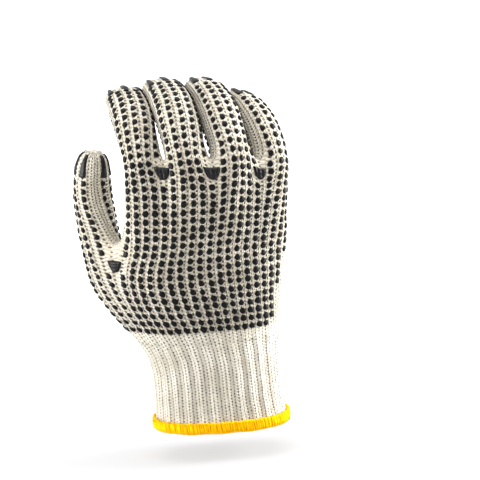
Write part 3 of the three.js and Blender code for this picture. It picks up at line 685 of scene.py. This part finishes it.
def knit_material(name):
    """Undyed cotton string, with painted shade in its holes and in the gaps between stitch legs. The
    cuff is paler and shaded between its ribs, and crotches are closer.
    """
    material = bpy.data.materials.new(name)
    material.use_nodes = True
    nodes, links, maths, spread, blend, cloud = node_tools(material)
    uv = nodes.new("ShaderNodeUVMap")
    uv.uv_map = "knit"
    place = nodes.new("ShaderNodeTexCoord").outputs["Object"]
    stitches = nodes.new("ShaderNodeGroup")
    stitches.node_tree = string_knit
    links.new(uv.outputs[0], stitches.inputs["Knit"])
    links.new(place, stitches.inputs["Place"])
    tint = spread(cloud(place, 55, 3.0, 0.55), 0.35, 0.7)
    rib_map = nodes.new("ShaderNodeUVMap")
    rib_map.uv_map = "rib"
    parts = nodes.new("ShaderNodeSeparateXYZ")
    links.new(rib_map.outputs[0], parts.inputs[0])
    valley = maths("ABSOLUTE", maths("COSINE", maths("MULTIPLY", parts.outputs[0], math.pi)))
    valley = spread(valley, 0.5, 1.0)
    in_cuff = spread(parts.outputs[1], CUFF_LENGTH + 11, CUFF_LENGTH + 5)
    closed = nodes.new("ShaderNodeAttribute")
    closed.attribute_name = "closed"
    tight = maths("ADD", maths("MULTIPLY", in_cuff, 0.1), maths("MULTIPLY", closed.outputs["Fac"], 1.2))
    links.new(tight, stitches.inputs["Tight"])
    colour = blend(maths("MULTIPLY", tint, 0.45), blend(in_cuff, KNIT_CREAM, CUFF_CREAM), KNIT_TAN_AND_GAP_SHADE)
    # Painted shade in the gaps between stitch legs, lighter on the cuff
    between = maths("MULTIPLY", stitches.outputs["Leg_Gap_Shade"], spread(in_cuff, 0.0, 1.0, 0.8, 0.45))
    colour = blend(between, colour, KNIT_TAN_AND_GAP_SHADE)
    specks = spread(cloud(place, 900, 2.0, 0.7), 0.62, 0.74)
    colour = blend(maths("MULTIPLY", specks, 0.35), colour, YARN_SPECK)
    colour = blend(maths("MULTIPLY", maths("MULTIPLY", valley, in_cuff), 0.45), colour, CUFF_SHADE)
    # The holes are painted dark: painted shade of the glove's inside seen through them, thinned out at
    # random
    hole_shade = maths("MULTIPLY", stitches.outputs["Hole"], 0.95)
    loose = spread(cloud(place, 480, 2.0, 0.6), 0.38, 0.58)
    loose = spread(loose, 0.0, 1.0, spread(in_cuff, 0.0, 1.0, 0.7, 0.45), 1.0)
    hole_shade = maths("MULTIPLY", hole_shade, loose)
    colour = blend(hole_shade, colour, KNIT_HOLE_SHADE)
    return finish(material, colour, stitches.outputs["Height"], 0.0009,
                  spread(in_cuff, 0.0, 1.0, 1.0, 0.6), Roughness=0.88, Specular_IOR_Level=0.18,
                  Sheen_Weight=0.25, Sheen_Roughness=0.5)


cotton_string = knit_material("cotton_string")


def piece_of(name, mesh, material, slot, *nodes):
    """Put a mesh in the scene as a piece of the glove, in place of the solids it stands for."""
    piece = bpy.data.objects.new(name, mesh)
    bpy.context.scene.collection.objects.link(piece)
    mesh.materials.append(material)
    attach(piece, "root")
    if nodes:
        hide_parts(*nodes)
    return piece


piece_of("hand_knit", skin_mesh("hand_knit", 1), cotton_string, "knit", "knitted_heel",
         "knitted_palm", "knitted_index", "knitted_middle", "knitted_ring", "knitted_little",
         "knitted_thumb")

# Rib cuff
# The same string knitted over elastic in a 2 by 2 rib, 27 ribs round. It is knitted on to the hand
# without a seam, so the ribs run out into its wales.
piece_of("cuff_knit", skin_mesh("cuff_knit", 0), cotton_string, "knit", "rib_cuff")

# Overlocked hem
# The cut edge of the cuff is bound by an overlock machine with soft bulked yellow thread: close
# slanting wraps over the edge, held by a chain along their upper ends.
HEM_HEIGHT = 7.5
WRAPS, WRAP_RADIUS = 172, 0.78
# One wrap in section, how far out of the cuff and how high, from its upper end round the edge
WRAP_OUT = np.array([0.15, 0.85, 1.0, 1.0, 0.75, -0.2, -1.2, -2.3, -2.9, -2.7, -2.2])
WRAP_UP = np.array([7.5, 7.0, 5.3, 3.2, 1.3, 0.3, 0.0, 0.5, 2.0, 3.8, 5.2])
WRAP_FOLD, WRAP_SWELL = 5, 0.95
UNDER_WRAPS = [(1.0, 0.3), (1.6, 1.6), (1.6, 5.6), (1.2, 6.6), (0.35, 6.7), (0.35, 1.2), (-2.2, 1.2),
               (-2.2, 5.2), (-3.1, 5.0), (-3.1, 1.2), (-2.4, 0.1)]
CHAIN_STEPS, CHAIN_OUT, CHAIN_RADIUS, CHAIN_STITCHES = 240, 1.8, 0.5, 75
HEM_YELLOW, HEM_ORANGE = (1.0, 0.56, 0.0, 1), (0.98, 0.36, 0.0, 1)


def tubes(name, lines, radii, rings, sides=6):
    """Closed round strands along lines of points, and a closed band of rings, as one mesh."""
    points, faces = [], []
    for n, ring in enumerate(rings):
        count, after = len(ring), (n + 1) % len(rings)
        points.extend(ring)
        faces.extend((n * count + i, n * count + (i + 1) % count,
                      after * count + (i + 1) % count, after * count + i) for i in range(count))
    for line, radius in zip(lines, radii):
        line = np.asarray(line)
        ahead = np.gradient(line, axis=0)
        ahead /= np.linalg.norm(ahead, axis=1)[:, None]
        side = np.cross(ahead, np.array([0.13, 0.21, 0.97]))
        side /= np.linalg.norm(side, axis=1)[:, None]
        up = np.cross(side, ahead)
        angle = np.arange(sides) * 2 * math.pi / sides
        taper = np.ones(len(line))
        taper[[0, -1]] = 0.55
        ring = (np.cos(angle)[None, :, None] * side[:, None]
                + np.sin(angle)[None, :, None] * up[:, None])
        ring = line[:, None] + ring * (radius * taper)[:, None, None]
        base = len(points)
        points.extend(ring.reshape(-1, 3))
        for r in range(len(line) - 1):
            for s in range(sides):
                a, b = base + r * sides + s, base + r * sides + (s + 1) % sides
                faces.append((a, b, b + sides, a + sides))
        faces.append(tuple(base + s for s in range(sides - 1, -1, -1)))
        last = base + (len(line) - 1) * sides
        faces.append(tuple(last + s for s in range(sides)))
    mesh = bpy.data.meshes.new(name)
    mesh.from_pydata((np.array(points) / MM).tolist(), [], faces)
    mesh.shade_smooth()
    return mesh


rng = np.random.default_rng(7)
wraps, wrap_radii = [], []
for n in range(WRAPS):
    share = (n + rng.uniform(-0.2, 0.2)) / WRAPS
    slant = 0.85 + rng.uniform(-0.25, 0.25)
    bulge = rng.uniform(-0.12, 0.2)
    line = []
    for k, (out, up) in enumerate(zip(WRAP_OUT, WRAP_UP)):
        at = share + slant * (k / WRAP_FOLD - 1) / WRAPS * (1.0 if k <= WRAP_FOLD else 0.6)
        out = out + WRAP_SWELL if out > 0 else out
        p = wrist_loop(max(up, 0.0), np.array([at]), out + (bulge if 0 < k < WRAP_FOLD else 0))[0]
        p[2] = up + (rng.uniform(-0.55, 0.35) if k == 0 else 0) + 0.15 * math.sin(share * 70)
        line.append(p)
    wraps.append(line)
    wrap_radii.append(WRAP_RADIUS * rng.uniform(0.85, 1.12))
chain = []
for k in range(CHAIN_STEPS + 1):
    p = wrist_loop(HEM_HEIGHT - 0.9, np.array([k / CHAIN_STEPS]), CHAIN_OUT)[0]
    p[2] = HEM_HEIGHT - 0.9 + 0.4 * math.sin(2 * math.pi * CHAIN_STITCHES * k / CHAIN_STEPS)
    chain.append(p)
band_shares = np.arange(2 * ROUND_WALES) / (2 * ROUND_WALES)
under = [wrist_loop(up, band_shares, out) for out, up in UNDER_WRAPS]
hem_mesh = tubes("hem_wraps", wraps + [chain], wrap_radii + [CHAIN_RADIUS], under)
hem_thread = bpy.data.materials.new("hem_thread")
hem_thread.use_nodes = True
nodes, _, maths, spread, blend, cloud = node_tools(hem_thread)
place = nodes.new("ShaderNodeTexCoord").outputs["Object"]
hairs = cloud(place, 2600, 3.0, 0.65)
patchy = spread(cloud(place, 240, 2.0, 0.5), 0.4, 0.68)
colour = blend(maths("MULTIPLY", patchy, 0.45), HEM_YELLOW, HEM_ORANGE)
colour = blend(maths("MULTIPLY", spread(hairs, 0.55, 0.75), 0.35), colour, HEM_ORANGE)
finish(hem_thread, colour, hairs, 0.0003, Roughness=0.8, Specular_IOR_Level=0.08)
piece_of("hem_wraps", hem_mesh, hem_thread, "hem_thread", "overlocked_hem")

# Patches under the crotches
# Half moons of black PVC, screened on to the knit under each crotch where gloves wear through
# first. They follow the wales under them and catch the light along their thick edge.
PATCH_HEIGHT, PATCH_THICK, PAD_SUNK = 7.5, 0.85, 0.45
PVC_BLACK, PVC_DUSTY = (0.003, 0.003, 0.0033, 1), (0.009, 0.0085, 0.008, 1)


def printed_pvc_group():
    """How printed PVC sets: mottled gloss, dust on its duller spots and an uneven skin."""
    group = node_group("printed_pvc", ["Place"], [], ["Mottle", "Dust", "Skin"])
    nodes, links, maths, spread, _, cloud = node_tools(group)
    source, sink = nodes.new("NodeGroupInput"), nodes.new("NodeGroupOutput")
    place = source.outputs["Place"]
    mottle = cloud(place, 700, 3.0, 0.6)
    links.new(mottle, sink.inputs["Mottle"])
    links.new(maths("MULTIPLY", spread(mottle, 0.45, 0.75), 0.35), sink.inputs["Dust"])
    links.new(cloud(place, 1100, 2.0, 0.5), sink.inputs["Skin"])
    return group


printed_pvc = printed_pvc_group()


def pvc_material(name, gloss, specular):
    """Soft black PVC with its own gloss."""
    material = bpy.data.materials.new(name)
    material.use_nodes = True
    nodes, links, _, spread, blend, _ = node_tools(material)
    pvc = nodes.new("ShaderNodeGroup")
    pvc.node_tree = printed_pvc
    links.new(nodes.new("ShaderNodeTexCoord").outputs["Object"], pvc.inputs["Place"])
    rough = spread(pvc.outputs["Mottle"], 0.3, 0.7, gloss, gloss + 0.2)
    links.new(rough, nodes["Principled BSDF"].inputs["Roughness"])
    colour = blend(pvc.outputs["Dust"], PVC_BLACK, PVC_DUSTY)
    return finish(material, colour, pvc.outputs["Skin"], 0.00025, Specular_IOR_Level=specular)


patch_pvc = pvc_material("patch_pvc", 0.24, 0.19)


def surface_at(column, course, palm):
    """Place and outward direction at knit columns and courses, over strip boundaries too."""
    column, course = np.broadcast_arrays(np.asarray(column, float), np.asarray(course, float))
    place, out = np.zeros(column.shape + (3,)), np.zeros(column.shape + (3,))
    code = np.vectorize(lambda c: strip_at(c, palm))(column)
    for each in np.unique(code):
        mine = code == each
        place[mine] = on_strip(each, column[mine], course[mine], printed)
        out[mine] = on_strip(each, column[mine], course[mine], fine_out)
    return place, out / np.linalg.norm(out, axis=-1)[..., None]


def wale_width(column, course, palm, reach):
    """Millimetres from one knit column to the next round a place on the glove."""
    near, _ = surface_at([column - reach, column + reach], [course, course], palm)
    return np.linalg.norm(near[1] - near[0]) / (2 * reach)


def pad_grid(rows, cols):
    """Shares of the way down and across a pad, for each corner of its grid."""
    return (np.linspace(0, 1, rows)[:, None] * np.ones((1, cols)),
            np.linspace(-1, 1, cols)[None, :] * np.ones((rows, 1)))


def put_pad(solid, column, course, thickness, palm):
    """A closed pad of PVC over a grid of knit places, sunk into the knit, in place of a solid."""
    name = solid + "_pvc"
    place, out = surface_at(column, course, palm)
    rows, cols = column.shape
    top = place + out * (thickness + 0.1)[..., None]
    low = place - out * PAD_SUNK
    points = np.concatenate([top.reshape(-1, 3), low.reshape(-1, 3)]) / MM
    faces = []
    base = rows * cols
    for r in range(rows - 1):
        for c in range(cols - 1):
            a = r * cols + c
            quad = (a, a + 1, a + cols + 1, a + cols)
            faces.append(quad)
            faces.append(tuple(base + i for i in reversed(quad)))
    rim = ([(0, c) for c in range(cols)] + [(r, cols - 1) for r in range(1, rows)]
           + [(rows - 1, c) for c in range(cols - 2, -1, -1)]
           + [(r, 0) for r in range(rows - 2, 0, -1)])
    for i, (r, c) in enumerate(rim):
        r2, c2 = rim[(i + 1) % len(rim)]
        a, b = r * cols + c, r2 * cols + c2
        faces.append((b, a, base + a, base + b))
    mesh = bpy.data.meshes.new(name)
    mesh.from_pydata(points.tolist(), [], faces)
    first = mesh.polygons[0]
    if first.normal.dot(Vector(out[0, 0])) < 0:
        mesh.flip_normals()
    mesh.shade_smooth()
    piece_of(name, mesh, patch_pvc, "grip_pvc", solid)


# Name, column of the middle, height of the upper edge and width
PATCHES = [
    ("index_middle", 17.3, FINGER_CROTCH - 2.2, 9.8),
    ("middle_ring", 27.3, FINGER_CROTCH - 3.1, 10.4),
    ("ring_little", 37.5, FINGER_CROTCH - 3.9, 8.4),
    ("thumb", 8, THUMB_CROTCH - 6.2, 10.0),
]
for name, column_at, top_mm, patch_width in PATCHES:
    for face, palm in (("back", 0), ("palm", 1)):
        down, over = pad_grid(22, 30)
        half = patch_width / 2 * np.sqrt(np.maximum(0.03, 1 - (down * 0.985) ** 2.2))
        column = column_at + over * half / wale_width(column_at, (top_mm - 3) / COURSE, palm, 1.0)
        course = (top_mm - down * PATCH_HEIGHT) / COURSE
        edge = np.maximum(np.abs(over), np.abs(down * 2 - 1))
        thickness = PATCH_THICK * (1 - edge ** 7) - 0.5 * edge ** 12
        stitched = np.abs(np.sin(np.pi * column / 0.7)) * (0.5 + 0.5 * np.abs(np.sin(np.pi * course)))
        thickness += (0.5 * stitched + 0.2 * (1 - down)) * (1 - edge ** 6)
        put_pad(f"{face}_patch_{name}", column, course, thickness, palm)

# Bars over the fingertips
# Three tapered bars of the same PVC on each face of every digit, from the last row of dots to just
# short of the tip.
BAR_FOOT, BAR_LENGTH, BAR_WIDE, BAR_NARROW = 0.74, 14.5, 4.6, 2.4
BAR_THICK, THUMB_BAR = 0.75, 1.25
BARS = (("near", 0.16), ("middle", 0.5), ("far", 0.84))
for name in DIGITS:
    digit = DIGITS[name]
    length = digit["long"] * FINGER_LENGTH
    v_base = (THUMB_CROTCH if name == "thumb" else FINGER_CROTCH) / COURSE
    for face, palm in (("back", 0), ("palm", 1)):
        for spot, share in BARS:
            along, over = pad_grid(20, 11)
            middle = digit["first"] + share * digit["wales"]
            wide = (BAR_WIDE + (BAR_NARROW - BAR_WIDE) * along) * (THUMB_BAR if name == "thumb" else 1)
            wide = wide * np.sqrt(np.clip(1 - (np.abs(along * 2 - 1)) ** 14, 0.15, 1))
            course = v_base + (BAR_FOOT * length + BAR_LENGTH * along) / COURSE
            column = middle + over * wide / 2 / wale_width(middle, course[8, 0], palm, 0.7)
            edge = np.maximum(np.abs(over), np.abs(along * 2 - 1) ** 3)
            thickness = BAR_THICK * (1 - edge ** 4) - 0.3 * edge ** 8 + 0.06 * np.sin(along * 40)
            put_pad(f"{name}_{face}_bar_{spot}", column, course, thickness, palm)

# Grip dots
# Small domes of black PVC printed through a screen on both faces while the glove lies flat, one
# every second wale and every second course, with uneven edges where they soak into the stitches.
DOT_ACROSS, DOT_ALONG, DOT_HEIGHT = 2.02, 2.14, 0.6
FINGER_DOT = 0.9
WIDEST, TALLEST = 0.86, 0.41
FIRST_DOT, DOT_PITCH = 67.7, 4.93
# The print stops short of the little finger's side: rows left out at the foot of the last columns
ROWS_LEFT_OUT = {FACE_WALES - 1: 9, FACE_WALES - 3: 5, FACE_WALES - 5: 1}
DOT_SIDES = 12
DOT_RINGS = ((1.0, -1.1), (0.98, 0.1), (0.8, 0.74), (0.42, 0.97))
dot_pvc = pvc_material("dot_pvc", 0.2, 0.1)
for face, palm in (("back", 0), ("palm", 1)):
    spots = []
    for name in STRIPS:
        digit = DIGITS[name]
        length = digit["long"] * FINGER_LENGTH
        crotch = (THUMB_CROTCH if name == "thumb" else FINGER_CROTCH) / COURSE
        last = crotch + (BAR_FOOT * length - 2.2) / COURSE
        for column in range(digit["first"] + 1, digit["first"] + digit["wales"], 2):
            course = FIRST_DOT / COURSE
            course += ROWS_LEFT_OUT.get(column, 0) * DOT_PITCH / COURSE
            while course < last:
                clear = True
                for _, column_at, top_mm, _ in PATCHES:
                    beside = abs(column - column_at)
                    below = (top_mm - course * COURSE)
                    if beside < 1.5 and -2.5 < below < PATCH_HEIGHT + 1.5:
                        clear = False
                if clear:
                    spots.append((column, course))
                course += DOT_PITCH / COURSE
    sides, points, faces = DOT_SIDES, [], []
    for column, course in spots:
        column += rng.uniform(-0.09, 0.09)
        course += rng.uniform(-0.14, 0.14)
        at, _ = surface_at([column - 0.6, column + 0.6, column, column],
                           [course, course, course - 0.6, course + 0.6], palm)
        wale_mm = np.linalg.norm(at[1] - at[0]) / 1.2
        course_mm = np.linalg.norm(at[3] - at[2]) / 1.2
        on_digit = course * COURSE > FINGER_CROTCH or column < DIGITS["index"]["first"]
        size = rng.uniform(0.92, 1.08) * (FINGER_DOT if on_digit else 1.0)
        wide = min(DOT_ACROSS, WIDEST * wale_mm)
        tall = min(DOT_ALONG, TALLEST * DOT_PITCH / COURSE * course_mm)
        angle = np.arange(sides) * 2 * math.pi / sides + rng.uniform(0, 1)
        edge = size * (1 + 0.03 * np.sin(angle * 3 + rng.uniform(0, 6))
                       + 0.05 * np.sin(angle * 6 + rng.uniform(0, 6))
                       + rng.uniform(-0.05, 0.05, sides))
        base = len(points)
        for scale, high in DOT_RINGS:
            place, out = surface_at(column + np.cos(angle) * edge * scale * wide / wale_mm,
                                    course + np.sin(angle) * edge * scale * tall / course_mm, palm)
            points.extend(place + out * DOT_HEIGHT * high)
        place, out = surface_at([column], [course], palm)
        points.append((place + out * DOT_HEIGHT * 1.04)[0])
        for r in range(len(DOT_RINGS) - 1):
            for s in range(sides):
                a, b = base + r * sides + s, base + r * sides + (s + 1) % sides
                quad = (a, b, b + sides, a + sides)
                faces.append(quad[::-1] if palm else quad)
        crown = base + len(DOT_RINGS) * sides
        for s in range(sides):
            a, b = crown - sides + s, crown - sides + (s + 1) % sides
            faces.append((b, a, crown) if palm else (a, b, crown))
        foot = tuple(base + s for s in range(sides))
        faces.append(foot if palm else foot[::-1])
    mesh = bpy.data.meshes.new(f"{face}_dots")
    mesh.from_pydata((np.array(points) / MM).tolist(), [], faces)
    mesh.shade_smooth()
    piece_of(f"{face}_dots", mesh, dot_pvc, "grip_pvc")

# Floor, light and camera
# A pale floor of paper under the glove, which hangs a little above it, soft lights on both
# sides and overhead with a weak one in front, and a long lens that looks down a little and is
# turned so that the glove leans as in the photograph. The paper glows evenly and is painted
# darker near the glove: painted light that pales and softens the glove's cast shadow.
FLOOR_DROP, FLOOR_HALF = 0.019, 9.0
PAPER_DIMMED_NEAR_GLOVE, PAPER_FAR = (0.17, 0.171, 0.176, 1), (0.92, 0.92, 0.92, 1)
floor_mesh = bpy.data.meshes.new("studio_floor")
floor_corners = [(FLOOR_HALF * x, FLOOR_HALF * y, 0) for x, y in ((-1, -1), (1, -1), (1, 1), (-1, 1))]
floor_mesh.from_pydata(floor_corners, [], [(0, 1, 2, 3)])
floor = bpy.data.objects.new("studio_floor", floor_mesh)
floor.location.z = cad_low.z - FLOOR_DROP
bpy.context.scene.collection.objects.link(floor)
paper = bpy.data.materials.new("studio_paper")
paper.use_nodes = True
shader = paper.node_tree.nodes["Principled BSDF"]
nodes, links, _, spread, blend, _ = node_tools(paper)
span = nodes.new("ShaderNodeVectorMath")
span.operation = "LENGTH"
links.new(nodes.new("ShaderNodeTexCoord").outputs["Object"], span.inputs[0])
# Painted: the paper is darker near the glove and glows evenly, which pales and softens the glove's cast
# shadow
far_off = spread(span.outputs["Value"], 0.05, 1.1)
links.new(blend(far_off, PAPER_DIMMED_NEAR_GLOVE, PAPER_FAR), shader.inputs["Base Color"])
shader.inputs["Roughness"].default_value = 0.95
shader.inputs["Emission Color"].default_value = (1, 1, 1, 1)
shader.inputs["Emission Strength"].default_value = 0.56
floor_mesh.materials.append(paper)
floor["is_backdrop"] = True

world = bpy.data.worlds.new("studio")
world.use_nodes = True
nodes, links, _, spread, _, _ = node_tools(world)
way = nodes.new("ShaderNodeSeparateXYZ")
links.new(nodes.new("ShaderNodeTexCoord").outputs["Generated"], way.inputs[0])
links.new(spread(way.outputs[1], -0.9, 0.25, 0.2, 1.06), nodes["Background"].inputs[1])
nodes["Background"].inputs[0].default_value = (1, 1, 1, 1)
bpy.context.scene.world = world


def soft_light(name, place, size, power):
    """A square soft light turned toward the middle of the glove."""
    data = bpy.data.lights.new(name, "AREA")
    data.shape, data.size, data.energy = "SQUARE", size, power
    lamp = bpy.data.objects.new(name, data)
    lamp.location = place
    toward_glove = Vector((0.0, 0.0, 0.12)) - Vector(place)
    lamp.rotation_euler = toward_glove.to_track_quat("-Z", "Y").to_euler()
    bpy.context.scene.collection.objects.link(lamp)


soft_light("key", (-1.2, -0.2, 0.45), 0.7, 21)
soft_light("rim", (1.2, 0.1, 0.45), 0.7, 38)
soft_light("front", (-0.35, -1.5, 0.8), 0.5, 3.6)
soft_light("top", (0.0, -0.1, 1.5), 1.8, 30)

CAMERA_FAR, MM_PER_PIXEL, LEAN, LOOK_DOWN = 1.5, 0.645, 3.8, 10.0
lens = bpy.data.cameras.new("camera")
camera = bpy.data.objects.new("camera", lens)
bpy.context.scene.collection.objects.link(camera)
down, lean = math.radians(LOOK_DOWN), math.radians(LEAN)
aim = Vector((0.0194, 0.010, 0.1175))
toward = Vector((0, math.cos(down), -math.sin(down)))
level = Vector((0, math.sin(down), math.cos(down)))
right = Vector((1, 0, 0)) * math.cos(lean) - level * math.sin(lean)
upward = Vector((1, 0, 0)) * math.sin(lean) + level * math.cos(lean)
camera.matrix_world = Matrix((
    (right.x, upward.x, -toward.x, aim.x - toward.x * CAMERA_FAR),
    (right.y, upward.y, -toward.y, aim.y - toward.y * CAMERA_FAR),
    (right.z, upward.z, -toward.z, aim.z - toward.z * CAMERA_FAR),
    (0, 0, 0, 1),
))
lens.sensor_width = 36
lens.lens = 36 * CAMERA_FAR / (480 * MM_PER_PIXEL / 1000)
lens.clip_end = 60
bpy.context.scene.camera = camera
bpy.context.scene.view_settings.view_transform = "Standard"

low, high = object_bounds()
